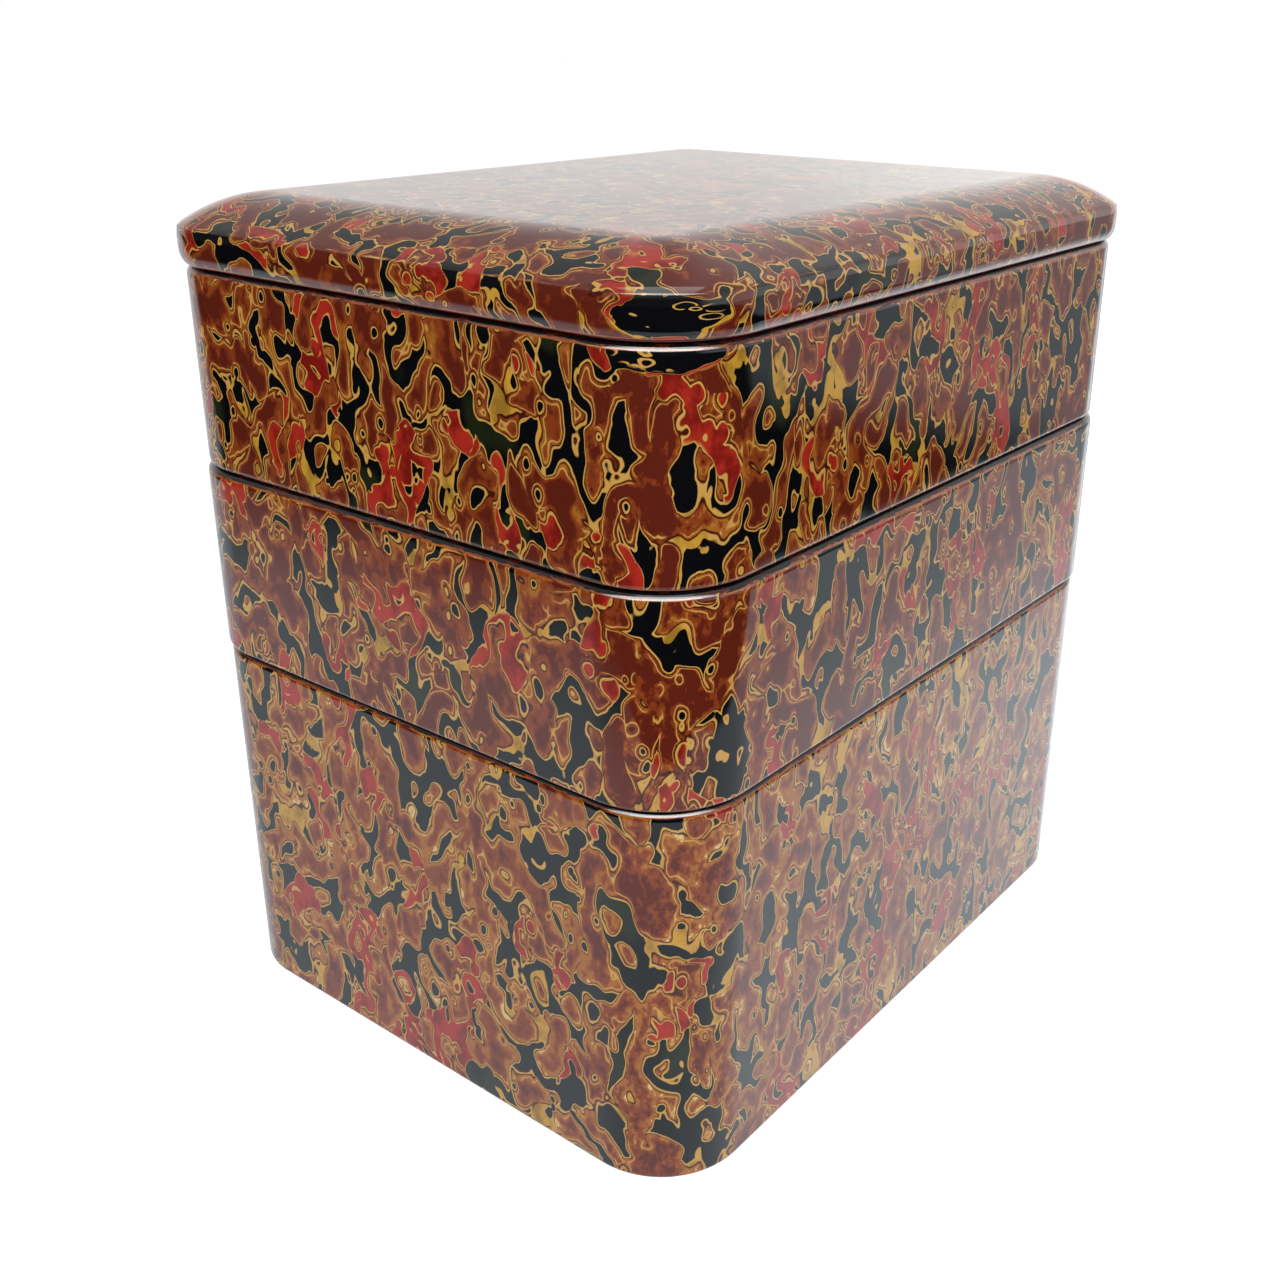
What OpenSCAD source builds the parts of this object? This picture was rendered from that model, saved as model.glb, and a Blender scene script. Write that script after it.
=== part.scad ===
// Stacking lacquer food box: three tiers, the bottom one of double height, and a crowned lid.
// Millimetres. The origin is under the middle of the box, on the table. Z is up, the long side is Y.
// Every wall and rim is drawn once as a section: x is the distance outwards from the line that
// joins two corner centres, and y is the height above the foot of the tier.

/* [Box] */
// Width of the tiers, left to right
box_w = 167; // [140:1:200]
// Depth of the tiers, front to back
box_d = 209; // [180:1:250]
// Outside radius of the four upright corners
corner_r = 23; // [19:0.5:30]

/* [Tiers] */
// Height of the deep bottom tier
bottom_h = 100; // [70:1:130]
// Height of the middle tier
middle_h = 50; // [40:1:70]
// Height of the top tier
top_h = 50; // [40:1:70]
// How far the middle tier stands proud of the tiers above and below it
middle_proud = 0.6; // [0:0.1:1.2]

/* [Walls] */
// Thickness of the side boards and corner posts
wall_t = 7; // [6:0.5:9]
// Rounding of a rim on the outside
rim_out_r = 2.4; // [1.5:0.1:3]
// Rounding of a rim on the inside
rim_in_r = 1.2; // [0.5:0.1:2]
// Rounding of the outer foot edge of a tier
foot_r = 1.5; // [0.5:0.1:2.2]

/* [Floors] */
// Thickness of a floor panel
floor_t = 5; // [3:0.5:8]
// How far a floor panel is set up above the foot of its tier
floor_recess = 0.8; // [0.4:0.1:3]
// How deep the rebate for the floor panel is cut into the wall
rebate_d = 3; // [2:0.1:3.6]
// Play of a floor panel in its rebate, on each side
floor_play = 0.3; // [0.1:0.05:0.5]

/* [Joinery] */
// Thickness of the tongue on the end of a board
tongue_t = 2.2; // [1.4:0.1:2.6]
// Length of the tongue
tongue_l = 3.5; // [2:0.5:5]
// Distance from the floor and from the rim at which the tongue stops
tongue_stop = 5; // [3:0.5:8]
// Play of the tongue in its groove, on each side
tongue_play = 0.1; // [0.05:0.05:0.2]
// Height of the tongue between two pieces of the lid's rim
lid_tongue_h = 1.8; // [1:0.2:2.4]
// Glue line in the mitres of the nesting slips
mitre_gap = 0.1; // [0.05:0.05:0.2]

/* [Nesting frames] */
// How far a nesting frame reaches into the tier below
nest_reach = 4; // [3:0.5:8]
// Width of a nesting slip
nest_w = 6; // [4:0.5:9]
// Play of a nesting frame in the mouth below, on each side
nest_play = 0.6; // [0.4:0.1:1]

/* [Lid] */
// How far the lid stands out past the tiers at its widest line
lid_overhang = 1.3; // [0.5:0.1:3]
// Height of the edge band, from the foot of the lid to its arris
lid_band_h = 9; // [8:0.5:12]
// Height of the widest line of the band
lid_widest_z = 6; // [4:0.5:7]
// Radius of the bowed face of the band
lid_bow_r = 12; // [11:0.5:30]
// Rise of the crown from the arris to the flat of the lid
lid_rise = 7.5; // [5:0.5:10]
// Thickness of the lid over its hollow
lid_top_t = 6; // [4:0.5:7.5]
// Height of the ledge that carries the crowned panel
lid_ledge_h = 5; // [4:0.5:7]
// Width of the rim that stands outside the crowned panel
lid_edge_w = 4; // [3:0.25:5]
// Play of the crowned panel inside its rim, on each side
lid_play = 0.2; // [0.1:0.05:0.4]
// How far the lid's slips reach into the top tier
lid_reach = 4; // [3:0.5:8]
// Width of a slip under the lid
lid_slip_w = 6; // [4:0.5:9]

/* [Hidden] */
$fn = 96;

// Centres of the upright corners, shared by the tiers and the lid
centre_x = box_w / 2 - corner_r;
centre_y = box_d / 2 - corner_r;
// Section places, measured outwards from the corner centres
inner_u = corner_r - wall_t;
nest_u = inner_u - nest_play;
lid_u = corner_r + lid_overhang;
panel_u = lid_u - lid_edge_w;
// Heights of the foot of each tier and of the lid
middle_z = bottom_h;
top_z = middle_z + middle_h;
lid_z = top_z + top_h;
// Top of a floor panel above the foot of its tier
floor_top = floor_recess + floor_t;
// Full height of the lid and the radius of its crown, level where the flat of the lid begins
lid_h = lid_band_h + lid_rise;
crown_r = (lid_u * lid_u + lid_rise * lid_rise) / (2 * lid_rise);
// Extra length given to a cutter so that it passes right through
past = 1;

lacquer = "#6e3d1f";
lacquer_dark = "#3a2018";
lacquer_inside = "#6b1a14";

// Section of a tier wall, h high, with its outer face moved out by proud
module wall_section(h, proud) {
    outer_u = corner_r + proud;
    difference() {
        union() {
            translate([inner_u, foot_r])
                square([outer_u - inner_u, h - foot_r - rim_out_r]);
            translate([inner_u, 0])
                square([outer_u - inner_u - foot_r, foot_r]);
            translate([outer_u - foot_r, foot_r])
                circle(foot_r);
            translate([inner_u + rim_in_r, h - rim_out_r])
                square([outer_u - inner_u - rim_in_r - rim_out_r, rim_out_r]);
            translate([inner_u, h - rim_out_r - rim_in_r])
                square([rim_in_r * 2, rim_out_r]);
            translate([inner_u + rim_in_r, h - rim_in_r])
                circle(rim_in_r);
            translate([outer_u - rim_out_r, h - rim_out_r])
                circle(rim_out_r);
        }
        translate([inner_u - past, -past])
            square([rebate_d + past, floor_top + past]);
    }
}

// Section of the tongue on a board's end, wider by play on each side for its groove
module tongue_section(h, play) {
    low = floor_top + tongue_stop - play;
    high = h - tongue_stop + play;
    translate([corner_r - wall_t / 2 - tongue_t / 2 - play, low])
        square([tongue_t + 2 * play, high - low]);
}

// Section of the lid's rim: bowed outside, crowned above, with a ledge for the panel
module lid_rim_section() {
    difference() {
        intersection() {
            translate([inner_u, 0])
                square([lid_u - inner_u, lid_h]);
            translate([lid_u - lid_bow_r, lid_widest_z])
                circle(lid_bow_r);
            translate([0, lid_h - crown_r])
                circle(crown_r, $fn = 360);
        }
        translate([inner_u - past, lid_ledge_h])
            square([panel_u - inner_u + past, lid_h]);
    }
}

// Section of the tongue between two pieces of the lid's rim
module lid_tongue_section(play) {
    translate([corner_r - wall_t / 2 - tongue_t / 2 - play, (lid_ledge_h - lid_tongue_h) / 2 - play])
        square([tongue_t + 2 * play, lid_tongue_h + 2 * play]);
}

// Section of the crowned panel, from the corner centres out to its edge
module crown_section() {
    intersection() {
        translate([0, lid_ledge_h])
            square([panel_u - lid_play, lid_h]);
        translate([0, lid_h - crown_r])
            circle(crown_r, $fn = 360);
    }
}

// A straight stretch of a section, length long, lying along Y
module run(length) {
    rotate([90, 0, 0])
        linear_extrude(length, center = true)
            children();
}

// Turns and places a straight stretch on one side of the box
module on_side(side) {
    turn = side == "right" ? 0 : side == "back" ? 90 : side == "left" ? 180 : 270;
    out = side == "right" || side == "left" ? centre_x : centre_y;
    rotate([0, 0, turn])
        translate([out, 0, 0])
            children();
}

// Length of the straight stretch of one side
function side_length(side) = side == "right" || side == "left" ? 2 * centre_y : 2 * centre_x;

// One of its children at each of the four corners, turned to face outwards
module at_corners() {
    for (k = [0 : 3]) {
        sign_x = k == 0 || k == 3 ? 1 : -1;
        sign_y = k < 2 ? 1 : -1;
        translate([sign_x * centre_x, sign_y * centre_y, 0])
            rotate([0, 0, 90 * k])
                children();
    }
}

// Both grooves that a corner piece takes its neighbours' tongues in
module corner_grooves(depth) {
    rotate([90, 0, 0])
        translate([0, 0, -depth])
            linear_extrude(depth + past)
                children();
    mirror([1, -1, 0])
        rotate([90, 0, 0])
            translate([0, 0, -depth])
                linear_extrude(depth + past)
                    children();
}

// Plan outline with round corners, edge outside the corner centres
module plan(edge) {
    square([2 * (centre_x + edge), 2 * centre_y], center = true);
    square([2 * centre_x, 2 * (centre_y + edge)], center = true);
    for (x = [-centre_x, centre_x])
        for (y = [-centre_y, centre_y])
            translate([x, y])
                circle(edge);
}

// A straight side board with a stopped tongue on each end
module side_board(side, foot_z, h, proud) {
    translate([0, 0, foot_z])
        on_side(side) {
            run(side_length(side))
                wall_section(h, proud);
            run(side_length(side) + 2 * tongue_l)
                tongue_section(h, 0);
        }
}

// The four round corner posts of a tier, grooved for the boards
module corner_posts(foot_z, h, proud) {
    translate([0, 0, foot_z])
        at_corners()
            difference() {
                rotate_extrude(angle = 90)
                    wall_section(h, proud);
                corner_grooves(tongue_l + tongue_play)
                    tongue_section(h, tongue_play);
            }
}

// A floor panel, let into the rebate from below
module floor_panel(foot_z) {
    translate([0, 0, foot_z + floor_recess])
        linear_extrude(floor_t)
            plan(inner_u + rebate_d - floor_play);
}

// Four slips mitred into a frame, round outside, from low to high
module mitred_slips(width, low, high) {
    for (turn = [0 : 3]) {
        reach_x = (turn % 2 == 0 ? centre_x : centre_y) + nest_u;
        reach_y = (turn % 2 == 0 ? centre_y : centre_x) + nest_u;
        outer_x = reach_x - mitre_gap / 2;
        inner_x = outer_x - width;
        translate([0, 0, low])
            linear_extrude(high - low)
                intersection() {
                    plan(nest_u);
                    rotate(90 * turn)
                        polygon([
                            [-outer_x, -reach_y], [outer_x, -reach_y],
                            [inner_x, width - reach_y], [-inner_x, width - reach_y]
                        ]);
                }
    }
}

// One straight piece of the lid's rim
module lid_rim(side) {
    translate([0, 0, lid_z])
        on_side(side) {
            run(side_length(side))
                lid_rim_section();
            run(side_length(side) + 2 * tongue_l)
                lid_tongue_section(0);
        }
}

module bottom_front_board() {
    color(lacquer) side_board("front", 0, bottom_h, 0);
}

module bottom_back_board() {
    color(lacquer) side_board("back", 0, bottom_h, 0);
}

module bottom_left_board() {
    color(lacquer) side_board("left", 0, bottom_h, 0);
}

module bottom_right_board() {
    color(lacquer) side_board("right", 0, bottom_h, 0);
}

module bottom_corner_posts() {
    color(lacquer_dark) corner_posts(0, bottom_h, 0);
}

module bottom_floor_panel() {
    color(lacquer_inside) floor_panel(0);
}

module middle_front_board() {
    color(lacquer) side_board("front", middle_z, middle_h, middle_proud);
}

module middle_back_board() {
    color(lacquer) side_board("back", middle_z, middle_h, middle_proud);
}

module middle_left_board() {
    color(lacquer) side_board("left", middle_z, middle_h, middle_proud);
}

module middle_right_board() {
    color(lacquer) side_board("right", middle_z, middle_h, middle_proud);
}

module middle_corner_posts() {
    color(lacquer_dark) corner_posts(middle_z, middle_h, middle_proud);
}

module middle_floor_panel() {
    color(lacquer_inside) floor_panel(middle_z);
}

module middle_nesting_slips() {
    color(lacquer_dark) mitred_slips(nest_w, middle_z - nest_reach, middle_z + floor_recess);
}

module top_front_board() {
    color(lacquer) side_board("front", top_z, top_h, 0);
}

module top_back_board() {
    color(lacquer) side_board("back", top_z, top_h, 0);
}

module top_left_board() {
    color(lacquer) side_board("left", top_z, top_h, 0);
}

module top_right_board() {
    color(lacquer) side_board("right", top_z, top_h, 0);
}

module top_corner_posts() {
    color(lacquer_dark) corner_posts(top_z, top_h, 0);
}

module top_floor_panel() {
    color(lacquer_inside) floor_panel(top_z);
}

module top_nesting_slips() {
    color(lacquer_dark) mitred_slips(nest_w, top_z - nest_reach, top_z + floor_recess);
}

module lid_front_rim() {
    color(lacquer) lid_rim("front");
}

module lid_back_rim() {
    color(lacquer) lid_rim("back");
}

module lid_left_rim() {
    color(lacquer) lid_rim("left");
}

module lid_right_rim() {
    color(lacquer) lid_rim("right");
}

// The four round blocks of the lid's rim, grooved for the straight pieces
module lid_corner_blocks() {
    color(lacquer_dark)
        translate([0, 0, lid_z])
            at_corners()
                difference() {
                    rotate_extrude(angle = 90)
                        lid_rim_section();
                    corner_grooves(tongue_l + tongue_play)
                        lid_tongue_section(tongue_play);
                }
}

// The crowned panel, hollowed from below to an even thickness
module lid_crowned_panel() {
    hollow_x = 2 * (centre_x + nest_u - lid_slip_w);
    hollow_y = 2 * (centre_y + nest_u - lid_slip_w);
    hollow_h = lid_h - lid_top_t - lid_ledge_h;
    color(lacquer)
        translate([0, 0, lid_z])
            difference() {
                union() {
                    translate([-centre_x, -centre_y, lid_ledge_h])
                        cube([2 * centre_x, 2 * centre_y, lid_h - lid_ledge_h]);
                    for (side = ["front", "back", "left", "right"])
                        on_side(side)
                            run(side_length(side))
                                crown_section();
                    at_corners()
                        rotate_extrude(angle = 90)
                            crown_section();
                }
                translate([-hollow_x / 2, -hollow_y / 2, lid_ledge_h - past])
                    cube([hollow_x, hollow_y, hollow_h + past]);
            }
}

module lid_locating_slips() {
    color(lacquer_dark) mitred_slips(lid_slip_w, lid_z - lid_reach, lid_z + lid_ledge_h);
}

bottom_front_board();
bottom_back_board();
bottom_left_board();
bottom_right_board();
bottom_corner_posts();
bottom_floor_panel();
middle_front_board();
middle_back_board();
middle_left_board();
middle_right_board();
middle_corner_posts();
middle_floor_panel();
middle_nesting_slips();
top_front_board();
top_back_board();
top_left_board();
top_right_board();
top_corner_posts();
top_floor_panel();
top_nesting_slips();
lid_front_rim();
lid_back_rim();
lid_left_rim();
lid_right_rim();
lid_corner_blocks();
lid_crowned_panel();
lid_locating_slips();
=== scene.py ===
# %% [markdown]
# # A stacking lacquer food box
#
# The box has three tiers, the lowest one of double height, and a crowned lid. Wooden boards and round
# corner posts carry one skin of lacquer, so each tier reads as a single glossy body with no joint in it.
# The CAD model gives every size and place. This lesson dresses it: a shell for each tier, a lid, and the
# mottled lacquer that gives the box its character.

import math

import bmesh
import bpy
from mathutils import Matrix, Vector


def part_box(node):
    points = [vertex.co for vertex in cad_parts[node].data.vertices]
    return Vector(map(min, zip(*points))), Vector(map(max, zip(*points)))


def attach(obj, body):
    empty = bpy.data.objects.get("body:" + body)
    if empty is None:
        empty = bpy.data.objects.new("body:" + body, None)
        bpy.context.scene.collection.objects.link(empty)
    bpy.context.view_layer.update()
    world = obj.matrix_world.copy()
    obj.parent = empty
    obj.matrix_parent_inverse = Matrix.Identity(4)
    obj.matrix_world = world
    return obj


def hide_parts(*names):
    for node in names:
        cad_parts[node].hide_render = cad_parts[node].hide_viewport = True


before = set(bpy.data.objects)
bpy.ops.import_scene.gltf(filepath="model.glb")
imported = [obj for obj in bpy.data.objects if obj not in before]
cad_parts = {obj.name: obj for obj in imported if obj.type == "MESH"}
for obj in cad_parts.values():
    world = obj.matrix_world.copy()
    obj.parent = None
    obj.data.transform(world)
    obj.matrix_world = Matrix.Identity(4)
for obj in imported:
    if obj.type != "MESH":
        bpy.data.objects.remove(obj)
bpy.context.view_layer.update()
MM = 0.001

# %% [markdown]
# ## The camera
#
# A product photograph fixes the camera before anything else. The box is seen from above its near corner.
# Azimuth, elevation and lens come from the way the seams between the tiers converge, and two small turns,
# a roll and a yaw, bring the frame onto the picture.

# %% Camera
PICTURE_SIDE = 1280
FOCAL_PIXELS = 1435.6
SENSOR = 36.0
AZIMUTH, ELEVATION = math.radians(38.453), math.radians(22.191)
ROLL, YAW = math.radians(0.197), math.radians(0.452)
TARGET = Vector((0, 0, 96.59 * MM))
DISTANCE = 420.1 * MM
SHIFT_ACROSS, SHIFT_UP = -48.5, -33.5
NEAREST_SEEN = 10 * MM

frontwards = Vector((math.sin(AZIMUTH), -math.cos(AZIMUTH), 0))
rightwards = Vector((math.cos(AZIMUTH), math.sin(AZIMUTH), 0))
upwards = Vector((0, 0, 1))
towards_camera = frontwards * math.cos(ELEVATION) + upwards * math.sin(ELEVATION)
level = Matrix.Rotation(AZIMUTH, 4, "Z") @ Matrix.Rotation(math.pi / 2 - ELEVATION, 4, "X")
turned = level @ Matrix.Rotation(ROLL, 4, "Z") @ Matrix.Rotation(-YAW, 4, "Y")

bpy.ops.object.camera_add(location=TARGET + towards_camera * DISTANCE)
camera = bpy.context.object
camera.name = "camera"
camera.rotation_euler = turned.to_euler()
camera.data.sensor_width = SENSOR
camera.data.lens = SENSOR * FOCAL_PIXELS / PICTURE_SIDE
camera.data.shift_x = SHIFT_ACROSS / PICTURE_SIDE
camera.data.shift_y = SHIFT_UP / PICTURE_SIDE
camera.data.clip_start = NEAREST_SEEN
bpy.context.scene.camera = camera
print("camera stands at", [round(v, 3) for v in camera.location])

# %% [markdown]
# ## Node helpers
#
# A finish or a studio in Blender is a tree of nodes. It could be wired by hand in the shader editor. Here
# a few helpers add a node, feed its inputs and hand back its output, so that a recipe reads like a sum.

# %% Adding nodes
def new_tree(owner):
    """Gives a material or a world an empty node tree and returns it."""
    owner.use_nodes = True
    owner.node_tree.nodes.clear()
    return owner.node_tree


def feed(tree, node, key, value):
    """Sets one input of a node to a value, or links it to the socket that feeds it."""
    if isinstance(value, bpy.types.NodeSocket):
        tree.links.new(value, node.inputs[key])
    else:
        node.inputs[key].default_value = value


def add(tree, kind, inputs=None, **settings):
    """Adds a node. Each input is a value or the socket that feeds it."""
    node = tree.nodes.new(kind)
    for key, value in settings.items():
        setattr(node, key, value)
    for key, value in (inputs or {}).items():
        feed(tree, node, key, value)
    return node


# %% Sums
def calc(tree, operation, first, second=0.0, third=0.0, clamp=False):
    """One Math node, as a socket."""
    inputs = {0: first, 1: second, 2: third}
    return add(tree, "ShaderNodeMath", inputs, operation=operation, use_clamp=clamp).outputs[0]


def plus(tree, total, value, share):
    """A total and a share of a value on top of it, as a socket."""
    return calc(tree, "MULTIPLY_ADD", value, share, total)


def vector_math(tree, operation, first, second=(0, 0, 0)):
    """One Vector Math node."""
    return add(tree, "ShaderNodeVectorMath", {0: first, 1: second}, operation=operation)


# %% Steps and blends
MIX_INPUTS, MIX_RESULT = (0, 6, 7), 2


def ramp(tree, value, low, high):
    """A smooth step from 0 at low to 1 at high, as a socket."""
    inputs = {"Value": value, "From Min": low, "From Max": high}
    return add(tree, "ShaderNodeMapRange", inputs, interpolation_type="SMOOTHSTEP").outputs["Result"]


def band(tree, value, low, high, soft):
    """1 between low and high, with soft edges, as a socket."""
    rise = ramp(tree, value, low - soft, low + soft)
    fall = ramp(tree, value, high + soft, high - soft)
    return calc(tree, "MULTIPLY", rise, fall)


def blend(tree, amount, first, second):
    """Mixes two colours, as a socket."""
    inputs = dict(zip(MIX_INPUTS, (amount, first, second)))
    return add(tree, "ShaderNodeMix", inputs, data_type="RGBA").outputs[MIX_RESULT]


# %% [markdown]
# ## The air of the studio
#
# Black lacquer is a dark mirror, so most of what it shows is its surroundings. A plain soft light fills
# the room. Reflections alone see more: a pale wall round the horizon, a dimmer ceiling, a brighter right
# side, a dark room in front, and a bright pane high up over the camera that draws the thin highlights on
# rims and arrises. Models of windows could do this too, but levels by direction are easier to tune.

# %% Levels of the air by direction
HORIZON_GLOSS, CEILING_GLOSS = 1.0, 0.5
HORIZON_ENDS, CEILING_STARTS = 0.12, 0.5
RIGHT_GLOSS, RIGHT_EDGE = 0.3, (0.02, 0.25)
FRONT_DARK, FRONT_EDGE, FRONT_TOP = 0.95, (-0.05, -0.35), (0.5, 0.25)
PANE_GLOSS, PANE_FOOT, PANE_SIDES = 12.0, (0.36, 0.5), (0.3, 0.5)


def reflected_air(tree):
    """The strength of the air as a reflection sees it, by direction, as a socket."""
    direction = add(tree, "ShaderNodeTexCoord").outputs["Generated"]
    forth, height = add(tree, "ShaderNodeSeparateXYZ", {0: direction}).outputs[1:3]
    overhead = ramp(tree, height, HORIZON_ENDS, CEILING_STARTS)
    strength = calc(tree, "MULTIPLY_ADD", overhead, CEILING_GLOSS - HORIZON_GLOSS, HORIZON_GLOSS)
    side = vector_math(tree, "DOT_PRODUCT", direction, rightwards).outputs["Value"]
    strength = plus(tree, strength, ramp(tree, side, *RIGHT_EDGE), RIGHT_GLOSS)
    dark = calc(tree, "MULTIPLY", ramp(tree, forth, *FRONT_EDGE), ramp(tree, height, *FRONT_TOP))
    strength = calc(tree, "MULTIPLY", strength, calc(tree, "MULTIPLY_ADD", dark, -FRONT_DARK, 1.0))
    front = vector_math(tree, "DOT_PRODUCT", direction, frontwards).outputs["Value"]
    pane = calc(tree, "MULTIPLY", ramp(tree, height, *PANE_FOOT), ramp(tree, front, *PANE_SIDES))
    return plus(tree, strength, pane, PANE_GLOSS)


# %% World
WHITE = (1.0, 1.0, 1.0, 1.0)
ROOM_LIGHT = 0.43


def seen_in_gloss(tree, path):
    """1 where a glossy or transmission ray looks, as a socket."""
    glossy, through = path.outputs["Is Glossy Ray"], path.outputs["Is Transmission Ray"]
    return calc(tree, "ADD", glossy, through, clamp=True)


scene = bpy.context.scene
scene.view_settings.view_transform = "Standard"
world = bpy.data.worlds.new("studio_air")
scene.world = world
tree = new_tree(world)
path = add(tree, "ShaderNodeLightPath")
from_camera = path.outputs["Is Camera Ray"]
looked_at = calc(tree, "ADD", seen_in_gloss(tree, path), from_camera, clamp=True)
air = add(tree, "ShaderNodeBackground", {"Color": WHITE, "Strength": ROOM_LIGHT})
seen_level = calc(tree, "MAXIMUM", reflected_air(tree), from_camera)
backdrop = add(tree, "ShaderNodeBackground", {"Color": WHITE, "Strength": seen_level})
mixed = add(tree, "ShaderNodeMixShader", {0: looked_at, 1: air.outputs[0], 2: backdrop.outputs[0]})
add(tree, "ShaderNodeOutputWorld", {"Surface": mixed.outputs[0]})
print("the room lights the box at", ROOM_LIGHT)

# %% [markdown]
# ## The table
#
# The box stands on white paper that keeps its shadow. The flat faces tilt the view down onto the table
# and carry its pale veil, so the table, too, has a level of its own for reflections. It ends a forearm's
# length in front and has a cut corner: past it the upper tier, the lid's edge and the near corner look
# into the dark room and show the lacquer's true depth. Only reflections see where the table ends: the
# picture itself keeps a plain pale ground.

# %% Levels of the table by place
LIT_FROM, LIT_FULL = -0.43, -0.26
CUT_CORNER, CUT_TURN = 0.322, math.radians(43)
RIGHT_ENDS, CRISP = 0.31, 0.006
FAR_STARTS, FAR_SOFT, FAR_LIGHT = 0.56, 0.1, 0.6
BESIDE_BOX, BESIDE_END = (0.02, 0.09), (0.27, 0.12)
NEAR_WINDOW, NEAR_LIGHT = (-0.13, -0.05), 0.5
BACK_WINDOW, BACK_LIGHT = (0.0, 0.2), 0.45


def reflected_table(tree):
    """The strength of the table as a reflection sees it, by place, as a socket."""
    spot = add(tree, "ShaderNodeTexCoord").outputs["Object"]
    across, deep = add(tree, "ShaderNodeSeparateXYZ", {0: spot}).outputs[:2]
    slant = calc(tree, "MULTIPLY", across, math.sin(CUT_TURN))
    slant = plus(tree, slant, deep, -math.cos(CUT_TURN))
    lit = ramp(tree, deep, LIT_FROM, LIT_FULL)
    for place, end in ((slant, CUT_CORNER), (across, RIGHT_ENDS)):
        lit = calc(tree, "MINIMUM", lit, ramp(tree, place, end + CRISP, end - CRISP))
    far_side = ramp(tree, deep, FAR_STARTS - FAR_SOFT, FAR_STARTS + FAR_SOFT)
    lit = calc(tree, "MAXIMUM", lit, calc(tree, "MULTIPLY", far_side, FAR_LIGHT))
    beside = calc(tree, "MULTIPLY", ramp(tree, across, *BESIDE_BOX), ramp(tree, across, *BESIDE_END))
    window = calc(tree, "MULTIPLY", ramp(tree, deep, *NEAR_WINDOW), NEAR_LIGHT)
    window = plus(tree, window, ramp(tree, deep, *BACK_WINDOW), BACK_LIGHT)
    return calc(tree, "MULTIPLY_ADD", beside, window, lit)


# %% Table
GROUND_SIDE = 12.0
GROUND_COLOUR = (0.9, 0.9, 0.9, 1.0)
GROUND_GLOW = 0.66
VEIL_COLOUR = (0.84, 0.94, 1.0, 1.0)

bpy.ops.mesh.primitive_plane_add(size=GROUND_SIDE, location=(0, 0, 0))
ground = bpy.context.object
ground.name = "ground"
paper = bpy.data.materials.new("pale_table")
tree = new_tree(paper)
path = add(tree, "ShaderNodeLightPath")
matt = add(tree, "ShaderNodeBsdfDiffuse", {"Color": GROUND_COLOUR})
glow_strength = calc(tree, "MULTIPLY", path.outputs["Is Camera Ray"], GROUND_GLOW)
glow = add(tree, "ShaderNodeEmission", {"Color": WHITE, "Strength": glow_strength})
shown = add(tree, "ShaderNodeAddShader", {0: matt.outputs[0], 1: glow.outputs[0]})
mirrored = add(tree, "ShaderNodeEmission", {"Color": VEIL_COLOUR, "Strength": reflected_table(tree)})
in_gloss = seen_in_gloss(tree, path)
both = add(tree, "ShaderNodeMixShader", {0: in_gloss, 1: shown.outputs[0], 2: mirrored.outputs[0]})
add(tree, "ShaderNodeOutputMaterial", {"Surface": both.outputs[0]})
ground.data.materials.append(paper)
print("ground is", GROUND_SIDE, "m wide")

# %% [markdown]
# ## The softboxes
#
# Two large lamps do what a photographer's softboxes do. A weak one overhead lays the shadow under the
# box, and a long strip over the camera lifts the two sides that it sees. Small lamps would throw hard
# shadows and put hard spots on the lacquer.


# %% Softboxes
def softbox(name, place, aim, width, height, watts):
    """A rectangular lamp at place that faces aim."""
    bpy.ops.object.light_add(type="AREA", location=place)
    lamp = bpy.context.object
    lamp.name = name
    lamp.data.shape = "RECTANGLE"
    lamp.data.size = width
    lamp.data.size_y = height
    lamp.data.energy = watts
    facing = Vector(aim) - Vector(place)
    lamp.rotation_euler = facing.to_track_quat("-Z", "Y").to_euler()
    print(name, "gives", watts, "W")


softbox("overhead_softbox", place=(0.1, -0.1, 1.5), aim=(0, 0, 0.1), width=0.9, height=0.9, watts=6)
softbox("front_strip", place=(0.93, -1.03, 1.15), aim=(0, 0, 0.15), width=2.2, height=0.45, watts=20)

# %% [markdown]
# ## Modelling helpers
#
# Each shell starts as a cube and is shaped in edit mode. Operators act on the selection, so a few small
# helpers pick faces and edges by where they lie: at one height, upright, or in a ring round the box.

# %% Starting a block
def start_block(name, low, high):
    """Adds a cube between two corners and enters edit mode on it."""
    bpy.ops.object.select_all(action="DESELECT")
    bpy.ops.mesh.primitive_cube_add(size=1, location=(low + high) / 2, scale=high - low)
    block = bpy.context.object
    block.name = name
    bpy.ops.object.transform_apply(location=True, rotation=True, scale=True)
    bpy.ops.object.mode_set(mode="EDIT")
    return block


# %% Picking faces and edges
ALIKE = 0.02 * MM
SELECT_MODES = {"faces": "FACE", "edges": "EDGE"}


def pick(kind, test):
    """Selects the faces or edges of the edited mesh that pass the test."""
    bpy.ops.mesh.select_mode(type=SELECT_MODES[kind])
    bpy.ops.mesh.select_all(action="DESELECT")
    mesh = bpy.context.object.data
    shape = bmesh.from_edit_mesh(mesh)
    for part in getattr(shape, kind):
        if test(part):
            part.select_set(True)
    bmesh.update_edit_mesh(mesh)


def near(value, target, slack=ALIKE):
    """True if two lengths are alike."""
    return abs(value - target) < slack


def at_height(height):
    """A test for edges or faces that lie flat at one height."""
    return lambda part: all(near(v.co.z, height) for v in part.verts)


def upright(edge):
    """True for an edge that runs straight up."""
    one, other = (v.co for v in edge.verts)
    return near(one.x, other.x) and near(one.y, other.y)


# %% Round corners
CORNER = 23 * MM
RING_SLACK = 0.1 * MM

corner_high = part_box("bottom_corner_posts")[1]
CENTRE_X = corner_high.x - CORNER
CENTRE_Y = corner_high.y - CORNER


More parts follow.
